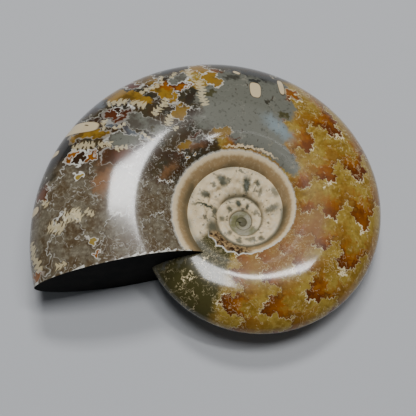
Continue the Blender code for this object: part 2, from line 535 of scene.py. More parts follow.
def set_floor():
    deselect_all()
    bpy.ops.mesh.primitive_plane_add(size=FLOOR_SIZE, location=(0.0, 0.0, 0.0))
    floor = bpy.context.active_object
    floor.name = "floor"
    material = bpy.data.materials.new("floor paper")
    material.use_nodes = True
    shader = material.node_tree.nodes["Principled BSDF"]
    shader.inputs["Base Color"].default_value = FLOOR_COLOUR
    shader.inputs["Roughness"].default_value = FLOOR_ROUGHNESS
    floor.data.materials.append(material)


# Materials


class Bench:
    """Adds shader nodes to one node tree and wires them as it goes."""

    def __init__(self, tree):
        self.tree = tree

    def node(self, kind, wires=(), **settings):
        made = self.tree.nodes.new("ShaderNode" + kind)
        for name, value in settings.items():
            setattr(made, name, value)
        for socket, value in dict(wires).items():
            self.feed(made.inputs[socket], value)
        return made

    def feed(self, socket, value):
        if isinstance(value, bpy.types.NodeSocket):
            self.tree.links.new(value, socket)
        else:
            socket.default_value = value

    def group(self, name, **wires):
        made = self.node("Group", node_tree=bpy.data.node_groups[name])
        for label, value in wires.items():
            self.feed(made.inputs[label], value)
        return made.outputs

    def math(self, operation, *values):
        return self.node("Math", enumerate(values), operation=operation).outputs[0]

    def times(self, *values):
        product = values[0]
        for value in values[1:]:
            product = self.math("MULTIPLY", product, value)
        return product

    def vector(self, operation, *values):
        return self.node("VectorMath", enumerate(values), operation=operation).outputs[0]

    def dot(self, first, second):
        made = self.node("VectorMath", {0: first, 1: second}, operation="DOT_PRODUCT")
        return made.outputs["Value"]

    def scaled(self, vector, factor):
        made = self.node("VectorMath", {"Vector": vector, "Scale": factor}, operation="SCALE")
        return made.outputs[0]

    def parts(self, vector):
        return self.node("SeparateXYZ", {0: vector}).outputs[:]

    def joined(self, x, y, z=0.0):
        return self.node("CombineXYZ", {0: x, 1: y, 2: z}).outputs[0]

    def rise(self, value, low, high):
        """0 at low, 1 at high and smooth between them, whichever of the two is the larger."""
        bottom, top = (1.0, 0.0) if low > high else (0.0, 1.0)
        made = self.node("MapRange", {0: value, 1: min(low, high), 2: max(low, high),
                                      3: bottom, 4: top}, interpolation_type="SMOOTHSTEP",
                         clamp=False)
        return made.outputs[0]

    def window(self, value, low, high, soft):
        """1 from low to high, falling to 0 over a soft margin at both ends."""
        return self.times(self.rise(value, low - soft, low + soft),
                          self.rise(value, high + soft, high - soft))

    def blend(self, share, first, second):
        """The first colour where the share is 0, the second where it is 1."""
        made = self.node("Mix", {0: share}, data_type="RGBA")
        self.feed(made.inputs[6], first)
        self.feed(made.inputs[7], second)
        return made.outputs[2]

    def lerp(self, share, first, second):
        return self.node("Mix", {0: share, 2: first, 3: second}).outputs[0]

    def noise(self, vector, scale, detail, roughness):
        wires = {"Vector": vector, "Scale": scale, "Detail": detail, "Roughness": roughness}
        return self.node("TexNoise", wires).outputs[0]


def new_group(name, inputs, outputs):
    """An empty shader group: its bench, what comes in, by label, and what goes out."""
    kinds = {"value": "NodeSocketFloat", "vector": "NodeSocketVector", "colour": "NodeSocketColor"}
    tree = bpy.data.node_groups.new(name, "ShaderNodeTree")
    for label, kind in inputs.items():
        tree.interface.new_socket(label, in_out="INPUT", socket_type=kinds[kind])
    for label, kind in outputs.items():
        tree.interface.new_socket(label, in_out="OUTPUT", socket_type=kinds[kind])
    given = tree.nodes.new("NodeGroupInput").outputs
    result = tree.nodes.new("NodeGroupOutput").inputs
    return Bench(tree), given, result


def tone(red, green, blue):
    """A colour as Blender wants it, from the 0 to 255 values of a colour chart."""
    shares = [level / 255.0 for level in (red, green, blue)]
    return tuple(share / 12.92 if share < 0.04 else ((share + 0.055) / 1.055) ** 2.4
                 for share in shares) + (1.0,)


def make_crinkle_group():
    """Waves a place in two directions at once, so that what is drawn there has frilled edges."""
    bench, given, result = new_group(
        "crinkle", {"Place": "vector", "Length": "value", "Depth": "value", "Unrest": "vector"},
        {"Place": "vector"})
    along, over, _ = bench.parts(given["Place"])
    turns = bench.math("DIVIDE", TURN, given["Length"])
    waves = bench.scaled(bench.joined(over, along), turns)
    swing = bench.vector("SINE", bench.vector("ADD", waves, given["Unrest"]))
    shifted = bench.vector("ADD", given["Place"], bench.scaled(swing, given["Depth"]))
    bench.feed(result["Place"], shifted)


# Sutures: the frilled edges of the chamber walls, one after another along the coil
SUTURE_SPACING = math.radians(24.3)
FIRST_SUTURE = math.radians(-99.0)
LOBE_PERIOD = 0.34                         # from saddle to saddle, in local radii
FIRST_SADDLE = 0.09                        # from the rim
SHALLOW_LOBE = 0.05
DEEP_LOBE = 0.125
# Each size of frill: its length, its depth and how far the unrest sways it
FRILLS = ((0.030, 0.0062, 4.0), (0.072, 0.0145, 4.0), (0.16, 0.020, 3.0))
DRIFT = 0.035
PROBE = 0.001                              # how far apart the slope of the field is taken


def make_count_group():
    """Counts the sutures along the coil: the frilled lines lie on the whole numbers."""
    bench, given, result = new_group(
        "suture count", {"Place": "vector", "Unrest": "vector"},
        {"Count": "value", "Lobe": "value", "Place": "vector"})
    unrest = given["Unrest"]
    place = bench.vector("ADD", given["Place"], bench.scaled(unrest, DRIFT))
    for length, depth, restless in FRILLS:
        place = bench.group("crinkle", Place=place, Length=length, Depth=depth,
                            Unrest=bench.scaled(unrest, restless))[0]
    along, over, _ = bench.parts(place)
    depth = bench.lerp(bench.rise(over, 0.95, 0.20), SHALLOW_LOBE, DEEP_LOBE)
    phase = bench.math("DIVIDE", bench.math("SUBTRACT", over, FIRST_SADDLE), LOBE_PERIOD / TURN)
    wave = bench.math("COSINE", phase)
    steep = bench.times(bench.math("SIGN", wave),
                        bench.math("POWER", bench.math("ABSOLUTE", wave), 0.7))
    start = bench.math("SUBTRACT", along, bench.times(depth, steep))
    count = bench.math("DIVIDE", bench.math("SUBTRACT", start, FIRST_SUTURE), SUTURE_SPACING)
    bench.feed(result["Count"], count)
    bench.feed(result["Lobe"], bench.times(wave, -1.0))
    bench.feed(result["Place"], place)


def make_suture_group():
    """How far a place is past the last suture, and how near the nearest one, in map units."""
    bench, given, result = new_group(
        "sutures", {"Place": "vector", "Unrest": "vector"},
        {"Ahead": "value", "Gap": "value", "Lobe": "value", "Place": "vector"})
    counts = []
    for step in ((0.0, 0.0, 0.0), (PROBE, 0.0, 0.0), (0.0, PROBE, 0.0)):
        beside = bench.vector("ADD", given["Place"], step)
        counts.append(bench.group("suture count", Place=beside, Unrest=given["Unrest"]))
    here = counts[0]["Count"]
    rises = [bench.math("SUBTRACT", other["Count"], here) for other in counts[1:]]
    squares = [bench.times(rise, rise) for rise in rises]
    slope = bench.math("DIVIDE", bench.math("SQRT", bench.math("ADD", *squares)), PROBE)
    ahead = bench.math("FRACT", here)
    nearest = bench.math("MINIMUM", ahead, bench.math("SUBTRACT", 1.0, ahead))
    bench.feed(result["Ahead"], ahead)
    bench.feed(result["Gap"], bench.math("DIVIDE", nearest, slope))
    bench.feed(result["Lobe"], counts[0]["Lobe"])
    bench.feed(result["Place"], counts[0]["Place"])


def make_stroke_group():
    """A patch of the map: 1 inside and 0 outside, its corners rounded, and a line round it."""
    bench, given, result = new_group(
        "stroke", {"Place": "vector", "Middle": "vector", "Along": "vector", "Aside": "vector",
                   "Half": "value", "Edge": "value"}, {"Mask": "value", "Outline": "value"})
    local = bench.vector("SUBTRACT", given["Place"], given["Middle"])
    cubes = [bench.math("POWER", bench.math("ABSOLUTE", bench.dot(local, given[axis])), 3.0)
             for axis in ("Along", "Aside")]
    far = bench.math("POWER", bench.math("ADD", *cubes), 1.0 / 3.0)
    beyond = bench.math("SUBTRACT", far, 1.0)
    soft = bench.math("DIVIDE", beyond, given["Edge"])
    off = bench.times(bench.math("ABSOLUTE", beyond), given["Half"])
    bench.feed(result["Mask"], bench.rise(soft, 1.0, -1.0))
    bench.feed(result["Outline"], bench.rise(off, OUTLINE_WIDTH, 0.3 * OUTLINE_WIDTH))


def make_lace_group():
    """A stem with slanted fingers on both sides, as a suture shows where it is cut lengthways."""
    bench, given, result = new_group(
        "lace", {"Place": "vector", "Middle": "vector", "Along": "vector", "Aside": "vector",
                 "Fingers": "value"}, {"Mask": "value"})
    local = bench.vector("SUBTRACT", given["Place"], given["Middle"])
    along = bench.dot(local, given["Along"])
    aside = bench.math("ABSOLUTE", bench.dot(local, given["Aside"]))
    turns = bench.times(bench.math("ADD", bench.times(along, given["Fingers"]),
                                   bench.times(aside, 0.35)), TURN)
    finger = bench.rise(bench.math("COSINE", turns), -1.0, 0.4)
    reach = bench.lerp(finger, 0.25, 0.95)
    inside = bench.rise(bench.math("DIVIDE", aside, reach), 1.2, 0.7)
    end = bench.rise(bench.math("ABSOLUTE", along), 1.04, 0.92)
    bench.feed(result["Mask"], bench.times(inside, end))


def make_loop_group():
    """Thin closed outlines in rows, as ragged and as scattered as the place that is given."""
    bench, given, result = new_group(
        "loops", {"Place": "vector", "Spacing": "value", "Radius": "value", "Width": "value"},
        {"Line": "value", "Inside": "value"})
    cells = bench.scaled(given["Place"], bench.math("DIVIDE", 1.0, given["Spacing"]))
    local = bench.vector("SUBTRACT", bench.vector("FRACTION", cells), (0.5, 0.5, 0.0))
    square = bench.dot(local, local)
    far = bench.times(bench.math("SQRT", square), given["Spacing"])
    beyond = bench.math("SUBTRACT", far, given["Radius"])
    off = bench.math("DIVIDE", bench.math("ABSOLUTE", beyond), given["Width"])
    bench.feed(result["Line"], bench.rise(off, 1.0, 0.3))
    bench.feed(result["Inside"], bench.rise(beyond, 0.002, -0.002))


def lay_out(start, end, width, spare=0.0):
    """How a stroke lies on the map, from start to end with its width in degrees."""
    (x0, y0), (x1, y1) = [(math.radians(angle), across(share)) for angle, share in (start, end)]
    half_width = math.radians(width) / 2.0
    half_length = math.hypot(x1 - x0, y1 - y0) / 2.0 + spare * half_width
    turn = math.atan2(y1 - y0, x1 - x0)
    return {"Middle": ((x0 + x1) / 2.0, (y0 + y1) / 2.0, 0.0),
            "Along": (math.cos(turn) / half_length, math.sin(turn) / half_length, 0.0),
            "Aside": (-math.sin(turn) / half_width, math.cos(turn) / half_width, 0.0)}, half_width


def stroke(bench, place, start, end, width, edge=0.1):
    """A patch from start to end, each a coil angle in degrees and a share of the arc."""
    lay, half = lay_out(start, end, width, spare=0.3)
    return bench.group("stroke", Place=place, Half=half, Edge=edge, **lay)


def lace(bench, place, start, end, width, pitch):
    """Lace from start to end, its fingers a pitch apart, in degrees."""
    lay, _ = lay_out(start, end, width)
    half_length = 1.0 / Vector(lay["Along"]).length
    return bench.group("lace", Place=place, Fingers=half_length / math.radians(pitch), **lay)["Mask"]


# Colours
MUSTARD = tone(140, 117, 48)
HONEY = tone(120, 92, 28)
PALE_HONEY = tone(176, 152, 84)
ORANGE = tone(128, 74, 10)
RUST = tone(88, 42, 6)
UMBER = tone(46, 27, 10)
CREAM = tone(196, 178, 142)
SUTURE_PALE = tone(214, 198, 156)
# white of the later sutures and the edge line, also used for the painted highlight on the sawn edge
SUTURE_WHITE_AND_HIGHLIGHT = tone(196, 194, 184)
OLIVE = tone(62, 58, 28)
DARK_OLIVE = tone(44, 41, 30)
PEWTER = tone(98, 98, 88)
STEEL = tone(84, 88, 92)
# a bluish painted sheen, laid on the pewter as a patch
PAINTED_SHEEN = tone(126, 144, 152)
# dark crust, also the painted shade in the seam between whorls
CRUST_AND_SEAM_SHADE = tone(74, 70, 52)
DARK_STONE = tone(38, 38, 36)
BODY_GREY = tone(98, 90, 74)
BODY_PALE = tone(140, 134, 116)
BODY_BROWN = tone(82, 68, 48)
PINK_BROWN = tone(126, 88, 56)
# tan of the umbilical wall, also laid down the wall as painted shade
TAN_AND_WALL_SHADE = tone(150, 125, 88)
OCHRE = tone(130, 98, 24)
RED_BROWN = tone(78, 38, 14)
CUT_BLACK = tone(6, 6, 6)
CUT_GREY = tone(24, 22, 20)
# cream of the wall and the earlier whorls, also laid as a painted highlight along the umbilical edge
WALL_CREAM_AND_HIGHLIGHT = tone(206, 186, 150)
# grey-green of the spots, also the painted shade along the crease under the next whorl
SPOT_AND_CREASE_SHADE_GREY = tone(70, 72, 58)
CORE_GREEN = tone(104, 102, 70)

# Where the finish changes along the coil, from the first angle to the second
PINK_STRETCH = (math.radians(-98.0), 0.0)
OLIVE_START = (math.radians(-102.0), math.radians(-110.0))
DARK_STRETCH = (math.radians(113.0), math.radians(170.0))
LAST_CHAMBER = (math.radians(162.0), math.radians(170.0))
LOOPS_FILLED = (math.radians(155.0), math.radians(165.0))
SUTURES_WHITEN = (math.radians(60.0), math.radians(110.0))
SCALLOPS_GROW = (math.radians(-48.0), math.radians(-122.0))
WALL_CRUMBLES = (math.radians(-74.0), math.radians(-92.0))
EDGE_BRIGHT = (math.radians(-135.0), math.radians(-40.0))
EARLIER_WHORLS = (math.radians(-140.0), math.radians(-150.0))
GREEN_CORE = (math.radians(-730.0), math.radians(-770.0))
DULL_STRETCH = (math.radians(-98.0), math.radians(112.0))

# Noises: scale, detail and roughness; the slow one runs on the map, the others through the stone
SLOW_NOISE = (6.0, 3.0, 0.55)
DRIFT_NOISE = (90.0, 2.0, 0.5)
CLOUD_NOISE = (260.0, 3.0, 0.6)
PATCHY_NOISE = (330.0, 2.0, 0.6)
CRUMB_NOISE = (620.0, 3.0, 0.6)
MOTTLE_NOISE = (1100.0, 3.0, 0.65)
CUT_NOISE = (160.0, 4.0, 0.6)
LIP_NOISE = (420.0, 3.0, 0.6)

RAGGED = 0.6                               # how far patches follow the frills of the sutures
WAVY = 0.3                                 # and how far finer marks do
SCALLOP = math.radians(14.0)               # from one scallop of the umbilical edge to the next

OUTLINE_WIDTH = 0.006                      # of the pale lines round patches, in local radii

# Patches, listed: colour, start, end, width in degrees, softness of the edge, strength of
# the colour and of the outline; a start or end is a coil angle in degrees and a share of the arc
# from the seam to the outer rim
PATCHES = (
    # pewter at the top, with darker grey towards the rim
    (PEWTER, (38, 0.2), (100, 0.22), 16, 0.1, 1, 0),
    (PEWTER, (62, 0.34), (118, 0.36), 20, 0.08, 1, 0),
    (PEWTER, (66, 0.55), (112, 0.52), 17, 0.06, 1, 0),
    (PEWTER, (72, 0.72), (100, 0.68), 15, 0.06, 1, 0),
    (DARK_STONE, (74, 0.9), (101, 0.94), 16, 0.2, 0.9, 0),
    (DARK_STONE, (109, 0.92), (117, 0.97), 11, 0.15, 0.9, 0),
    (DARK_OLIVE, (90, 0.9), (98, 0.92), 6, 0.5, 0.6, 0),
    (DARK_OLIVE, (92, 0.72), (97, 0.72), 3, 0.4, 0.8, 0),
    (OLIVE, (66.5, 0.5), (71, 0.49), 4, 0.2, 0.9, 0),
    (DARK_OLIVE, (77, 0.57), (78.5, 0.54), 2, 0.3, 0.9, 0),
    (DARK_STONE, (83, 0.72), (87, 0.72), 2.4, 0.3, 0.9, 0),
    (ORANGE, (66, 0.73), (71, 0.76), 5, 0.2, 0.9, 0.4),
    (OCHRE, (102, 0.63), (105, 0.78), 6, 0.15, 0.9, 0.7),
    (OCHRE, (104.5, 0.78), (107.5, 0.92), 4.5, 0.12, 0.9, 0.8),
    (OLIVE, (104, 0.56), (108, 0.57), 3, 0.3, 0.9, 0),
    (HONEY, (101, 0.255), (117, 0.24), 7, 0.12, 0.9, 0.3),
    (RED_BROWN, (94, 0.205), (101, 0.2), 1.4, 0.3, 0.8, 0),
    # past the first column of lace
    (PEWTER, (113, 0.77), (119, 0.72), 5, 0.1, 1, 0.5),
    (RED_BROWN, (113, 0.67), (121, 0.67), 4.6, 0.12, 1, 0.8),
    (ORANGE, (114, 0.665), (119, 0.66), 3.4, 0.2, 1, 0),
    (DARK_OLIVE, (113, 0.605), (118, 0.52), 4.5, 0.15, 1, 0),
    (OCHRE, (123, 0.56), (125.5, 0.76), 6, 0.15, 1, 0.6),
    (ORANGE, (121.5, 0.66), (122.5, 0.75), 3, 0.3, 1, 0),
    (HONEY, (121, 0.5), (128.5, 0.44), 7, 0.15, 1, 0.6),
    (HONEY, (124.5, 0.8), (127.5, 1.03), 7, 0.12, 1, 0.7),
    (RED_BROWN, (129, 0.8), (131.5, 0.92), 3.2, 0.25, 1, 0.7),
    (OCHRE, (131.5, 0.63), (135.5, 0.8), 4.6, 0.1, 1, 0),
    (OCHRE, (135.5, 0.78), (138, 1.03), 6.6, 0.06, 1, 0),
    # grey, brown and ochre pieces towards the last chamber
    (RED_BROWN, (140, 0.67), (146.5, 0.67), 4, 0.1, 1, 0.3),
    (RED_BROWN, (144, 0.7), (145.5, 0.8), 4.5, 0.12, 1, 0.3),
    (UMBER, (142, 0.73), (143.5, 0.73), 2.6, 0.2, 1, 0.8),
    (OLIVE, (145.5, 0.82), (147, 0.9), 3.4, 0.2, 1, 0.3),
    (STEEL, (142, 0.9), (149, 0.99), 6.5, 0.15, 0.9, 0),
    (PEWTER, (138.5, 0.4), (143.5, 0.63), 7.4, 0.07, 1, 0.3),
    (OLIVE, (141, 0.47), (142, 0.45), 2, 0.3, 0.9, 0),
    (STEEL, (147.5, 0.42), (148.5, 0.72), 2.6, 0.15, 1, 0.4),
    (PEWTER, (151, 0.46), (155, 0.63), 6.6, 0.07, 1, 0.6),
    (OCHRE, (152.8, 0.66), (158, 0.86), 4.4, 0.12, 1, 0.3),
    (UMBER, (151, 0.435), (158, 0.46), 2.8, 0.2, 1, 0.4),
    # orange and dark pieces where the last chamber starts, and a few in it
    (RUST, (159, 0.42), (163, 0.6), 8, 0.6, 0.75, 0.4),
    (DARK_STONE, (160, 0.86), (168, 0.95), 7, 0.2, 0.9, 0),
    (ORANGE, (161.5, 0.68), (165.5, 0.67), 4, 0.15, 1, 0.7),
    (ORANGE, (163.5, 0.8), (167.5, 0.77), 3.6, 0.15, 1, 0.7),
    (UMBER, (163, 0.735), (168, 0.735), 3.4, 0.15, 1, 1),
    (MUSTARD, (171.3, 0.68), (171.8, 0.72), 2.2, 0.2, 1, 1),
    (PINK_BROWN, (168, 0.55), (178, 0.52), 7, 0.5, 0.8, 0),
    (RUST, (174.5, 0.88), (178.5, 0.92), 5, 0.4, 0.8, 0.6),
    (DARK_OLIVE, (169, 0.88), (176, 0.97), 5, 0.4, 0.7, 0),
    (MUSTARD, (196, 0.57), (197.5, 0.58), 2.6, 0.3, 0.8, 0.7),
    (ORANGE, (201, 0.565), (202.5, 0.57), 2.2, 0.3, 0.8, 0.8),
    (ORANGE, (200, 0.9), (201, 0.97), 2.4, 0.3, 0.8, 0.3),
    # the inner side of the flank
    # cream strip along the umbilical edge: the rim's cream with a painted highlight
    (WALL_CREAM_AND_HIGHLIGHT, (60, 0.165), (108, 0.15), 2.4, 0.2, 0.9, 0),
    (UMBER, (79, 0.15), (98, 0.135), 1, 0.4, 0.9, 0),
    (PEWTER, (121, 0.25), (130, 0.235), 3.2, 0.1, 1, 0.4),
    (RED_BROWN, (122, 0.285), (131, 0.27), 2, 0.25, 0.9, 0.3),
    (OCHRE, (131, 0.25), (141, 0.25), 4.6, 0.3, 0.8, 0.3),
    (PINK_BROWN, (122, 0.2), (134, 0.215), 5, 0.6, 0.7, 0),
    (RUST, (140, 0.24), (147, 0.22), 5, 0.8, 0.35, 0),
    (PINK_BROWN, (152, 0.2), (166, 0.22), 6, 0.7, 0.6, 0),
    # painted sheen: a bluish reflection laid on the pewter as a patch
    (PAINTED_SHEEN, (60, 0.36), (76, 0.4), 8, 0.8, 0.6, 0),
    # streaks at the start of the whorl
    (BODY_PALE, (-153, 0.26), (-144, 0.6), 5, 0.5, 0.8, 0),
    (STEEL, (-147, 0.6), (-143, 0.85), 2.6, 0.4, 0.7, 0),
    (PEWTER, (-140, 0.4), (-138, 0.7), 2.2, 0.4, 0.5, 0),
    # beads along the umbilical edge
    (OCHRE, (133.5, 0.172), (136, 0.172), 1.6, 0.3, 0.9, 1),
    (OCHRE, (140.5, 0.172), (143, 0.175), 1.6, 0.3, 0.9, 1),
    (OCHRE, (164, 0.172), (167.5, 0.178), 1.6, 0.3, 0.9, 1),
)

# Pale lace: start, end, width of the fingers and how far apart they are, in degrees
LACES = (
    ((109, 0.7), (111.5, 0.45), 4.4, 1.9),
    ((109.5, 0.86), (111.5, 0.74), 3, 2.2),
    ((115, 0.84), (118.5, 0.78), 1.8, 2),
    ((120.5, 0.83), (122.5, 0.76), 1.6, 2),
    ((122.5, 0.745), (132, 0.745), 2.4, 2.2),
    ((134.6, 0.63), (136.5, 0.72), 4.4, 1.7),
    ((137.5, 0.74), (141.5, 0.84), 4, 1.7),
    ((126, 0.61), (129.5, 0.55), 3.4, 1.9),
    ((130.5, 0.56), (135.5, 0.54), 4, 1.9),
    ((129.5, 0.47), (134.5, 0.42), 4.6, 1.8),
    ((131, 0.375), (134.5, 0.375), 2.8, 1.7),
    ((146, 0.39), (146.8, 0.49), 2, 2.2),
    ((146.5, 0.61), (150.5, 0.65), 2.4, 1.8),
    ((148, 0.75), (152, 0.7), 2, 1.6),
    ((155.5, 0.5), (158.5, 0.55), 3.4, 1.6),
    ((157, 0.58), (159, 0.66), 3, 1.6),
    ((158.5, 0.68), (162, 0.82), 3.4, 1.5),
    ((179.2, 0.9), (181, 0.85), 2, 1.5),
    ((186.5, 0.73), (187, 0.62), 5, 1.3),
    ((184, 0.67), (188.5, 0.63), 3.4, 1.3),
    ((185.6, 0.6), (187.2, 0.55), 2.8, 1.2),
    ((188, 0.82), (190.5, 0.73), 4.6, 1.3),
    ((191, 0.96), (199.5, 0.9), 3, 1.4),
    ((200.8, 0.8), (201.4, 0.74), 2, 1.2),
)

# Chips of cream shell that are left: start, end, width in degrees, softness of the edge
CHIPS = (
    ((151.8, 0.76), (155.6, 1.03), 4.6, 0.08),
    ((72.6, 0.69), (75.2, 0.83), 2.4, 0.1),
    ((84.6, 0.57), (85.2, 0.69), 5, 0.06),
    ((91.5, 0.78), (93.5, 0.8), 1.6, 0.2),
    ((163.2, 0.92), (164.2, 1), 2.2, 0.1),
    ((181.6, 0.92), (182.4, 1), 2.4, 0.1),
)

# Grey-green spots of the earlier whorls: start, end, width in degrees, strength
SPOTS = (
    ((-345, 0.1), (-345, 0.32), 12, 0.8),
    ((-330, 0.35), (-317, 0.34), 9, 0.7),
    ((-307, 0.12), (-303, 0.22), 8, 0.7),
    ((-297, 0.23), (-291, 0.27), 7, 0.9),
    ((-276, 0.08), (-276, 0.26), 13, 1),
    ((-237, 0.18), (-236, 0.31), 12, 0.95),
    ((-203, 0.2), (-201, 0.29), 10, 0.9),
    ((-187, 0.05), (-184, 0.34), 4, 1),
    ((-192, 0.03), (-176, 0.05), 10, 0.9),
    ((-414, 0.22), (-414, 0.34), 10, 0.8),
    ((-444, 0.15), (-432, 0.26), 13, 0.7),
    ((-466, 0.25), (-456, 0.32), 12, 0.8),
    ((-492, 0.12), (-489, 0.28), 12, 0.7),
    ((-540, 0.2), (-532, 0.3), 13, 0.8),
    ((-584, 0.1), (-577, 0.24), 15, 0.9),
    ((-618, 0.16), (-611, 0.28), 17, 1),
    ((-648, 0.1), (-648, 0.24), 13, 0.9),
    ((-690, 0.18), (-684, 0.3), 16, 0.7),
    ((-160, 0.08), (-130, 0.18), 22, 0.9),
)

# Small pits: coil angle in degrees and share of the arc, width in degrees
PITS = (
    ((152.2, 0.835), 1.3), ((175.2, 0.425), 0.7), ((178.6, 0.41), 1), ((180.5, 0.435), 0.6),
    ((88.5, 0.66), 1.1), ((76.5, 0.6), 1.3), ((80.5, 0.75), 0.9), ((94, 0.6), 1),
    ((80, 0.22), 1.6), ((92.5, 0.265), 1.8), ((102.5, 0.22), 1.6), ((84, 0.42), 0.9),
)


class Chart:
    """What the finish reads at each point: its place on the coil, and its noises."""

    def __init__(self, bench):
        self.spot = bench.node("TexCoord").outputs["Object"]
        coil = bench.node("UVMap", uv_map=MAP_NAME).outputs["UV"]
        along_map, over_map, _ = bench.parts(coil)
        signed = bench.times(bench.math("SUBTRACT", over_map, 0.5), MAP_SHRINK)
        self.over = bench.math("ABSOLUTE", signed)
        under = bench.rise(signed, 0.0, -UNDERSIDE_MARGIN)
        self.along = bench.math("ADD", along_map, bench.times(under, UNDERSIDE_SHIFT))
        self.place = bench.joined(self.along, self.over)

        # What ruffles the map: a slow noise for drift, and crinkles for ragged edges
        rolled_out = bench.joined(self.along, signed)
        elsewhere = bench.vector("ADD", rolled_out, (7.0, 3.0, 0.0))
        slow = [bench.noise(where, *SLOW_NOISE) for where in (rolled_out, elsewhere)]
        centred = bench.vector("SUBTRACT", bench.joined(*slow), (0.5, 0.5, 0.0))
        self.unrest = bench.scaled(centred, 2.0)
        self.sutures = bench.group("sutures", Place=self.place, Unrest=self.unrest)
        ruffle = bench.vector("SUBTRACT", self.sutures["Place"], self.place)
        self.ragged = bench.vector("ADD", self.place, bench.scaled(ruffle, RAGGED))
        self.wavy = bench.vector("ADD", self.place, bench.scaled(ruffle, WAVY))
        self.ragged_along, self.ragged_over, _ = bench.parts(self.ragged)
        self.wavy_along, self.wavy_over, _ = bench.parts(self.wavy)
        self.cloud = bench.noise(self.spot, *CLOUD_NOISE)
        self.drift = bench.noise(self.spot, *DRIFT_NOISE)
        self.mottle = bench.noise(self.spot, *MOTTLE_NOISE)


def amber_ground(bench, at):
    """Rust just ahead of each suture, then orange, honey and mustard, with darker grain."""
    ground = bench.blend(bench.rise(at.cloud, 0.38, 0.62), MUSTARD, HONEY)
    ground = bench.blend(bench.times(bench.rise(at.mottle, 0.50, 0.70), 0.40), ground, PALE_HONEY)
    wobble = bench.times(bench.math("SUBTRACT", at.cloud, 0.5), 0.7)
    reach = bench.math("ADD", at.sutures["Ahead"], wobble)
    lobes = bench.lerp(bench.rise(at.sutures["Lobe"], -0.8, 0.5), 0.35, 1.0)
    ground = bench.blend(bench.times(bench.rise(reach, 0.66, 0.32), lobes), ground, ORANGE)
    stained = bench.times(bench.rise(reach, 0.42, 0.14), lobes, bench.rise(at.drift, 0.20, 0.50))
    ground = bench.blend(stained, ground, RUST)
    return bench.blend(bench.times(bench.rise(at.mottle, 0.46, 0.30), 0.30), ground, UMBER)


def later_ground(bench, at, ground):
    """A pinker inner flank, the olive start, the dark top and the grey-brown last chamber."""
    pink = bench.times(bench.rise(at.ragged_over, across(0.46), across(0.34)),
                       bench.window(at.ragged_along, *PINK_STRETCH, 0.15))
    ground = bench.blend(bench.times(pink, bench.lerp(at.cloud, 0.3, 1.0)), ground, PINK_BROWN)
    olive = bench.rise(at.ragged_along, *OLIVE_START)
    ground = bench.blend(olive, ground, OLIVE)
    dark = bench.window(at.ragged_along, *DARK_STRETCH, 0.03)
    ground = bench.blend(bench.times(dark, bench.lerp(at.cloud, 0.6, 1.2)), ground, DARK_OLIVE)
    chamber = bench.rise(at.ragged_along, *LAST_CHAMBER)
    body = bench.blend(bench.rise(at.cloud, 0.40, 0.62), BODY_GREY, BODY_BROWN)
    body = bench.blend(bench.times(bench.rise(at.mottle, 0.50, 0.66), 0.40), body, BODY_PALE)
    body = bench.blend(bench.times(bench.rise(at.mottle, 0.46, 0.32), 0.45), body, UMBER)
    return bench.blend(chamber, ground, body), dark


def lay_loops(bench, at, ground):
    """Thin outlines that wander over the shell, and are filled with brown in the last chamber."""
    scattered = bench.vector("ADD", at.sutures["Place"], bench.scaled(at.unrest, 0.12))
    loops = bench.group("loops", Place=scattered, Spacing=0.115, Width=0.005,
                        Radius=bench.lerp(bench.rise(at.drift, 0.3, 0.7), 0.0, 0.055))
    late = bench.rise(at.ragged_along, *LOOPS_FILLED)
    ground = bench.blend(bench.times(loops["Inside"], late, 0.35), ground, BODY_BROWN)
    return ground, bench.times(loops["Line"], 0.35)


def lay_patches(bench, at, ground, outlines, dark):
    """The patches of the table, some with a pale line round them, and where pewter shows."""
    pewter = 0.0
    for colour, start, end, width, edge, strength, outline in PATCHES:
        mark = stroke(bench, at.ragged, start, end, width, edge)
        ground = bench.blend(bench.times(mark["Mask"], strength), ground, colour)
        outlines = bench.times(outlines, bench.math("SUBTRACT", 1.0, mark["Mask"]))
        if outline:
            outlines = bench.math("MAXIMUM", outlines, bench.times(mark["Outline"], outline))
        if colour is PEWTER:
            pewter = bench.math("MAXIMUM", pewter, mark["Mask"])
    speckle = bench.rise(at.mottle, 0.45, 0.33)
    ground = bench.blend(bench.times(pewter, speckle, 0.5), ground, DARK_OLIVE)
    shade = bench.times(bench.rise(at.cloud, 0.58, 0.38), dark, 0.6)
    return bench.blend(shade, ground, UMBER), outlines, pewter


def draw_sutures(bench, at, ground, outlines, pewter):
    """The suture lines, dark along one side, and wider at the tips of the lobes."""
    gap, lobe = at.sutures["Gap"], at.sutures["Lobe"]
    pale = bench.blend(bench.rise(at.along, *SUTURES_WHITEN), SUTURE_PALE, SUTURE_WHITE_AND_HIGHLIGHT)
    open_ground = bench.lerp(pewter, 1.0, 0.12)
    tips = bench.rise(lobe, 0.0, 0.9)
    patchy = bench.rise(bench.noise(at.spot, *PATCHY_NOISE), 0.38, 0.56)
    shadow = bench.times(bench.rise(gap, 0.022, 0.0), bench.rise(at.sutures["Ahead"], 0.5, 0.45),
                         bench.lerp(tips, 0.35, 0.85), open_ground)
    ground = bench.blend(shadow, ground, UMBER)
    width = bench.times(bench.lerp(tips, 0.0038, 0.0120), bench.lerp(patchy, 0.5, 1.0))
    line = bench.rise(bench.math("DIVIDE", gap, width), 1.0, 0.4)
    line = bench.times(line, bench.lerp(tips, 0.55, 1.0), bench.lerp(patchy, 0.35, 1.0),
                       open_ground)
    return bench.blend(bench.math("MAXIMUM", line, outlines), ground, pale)


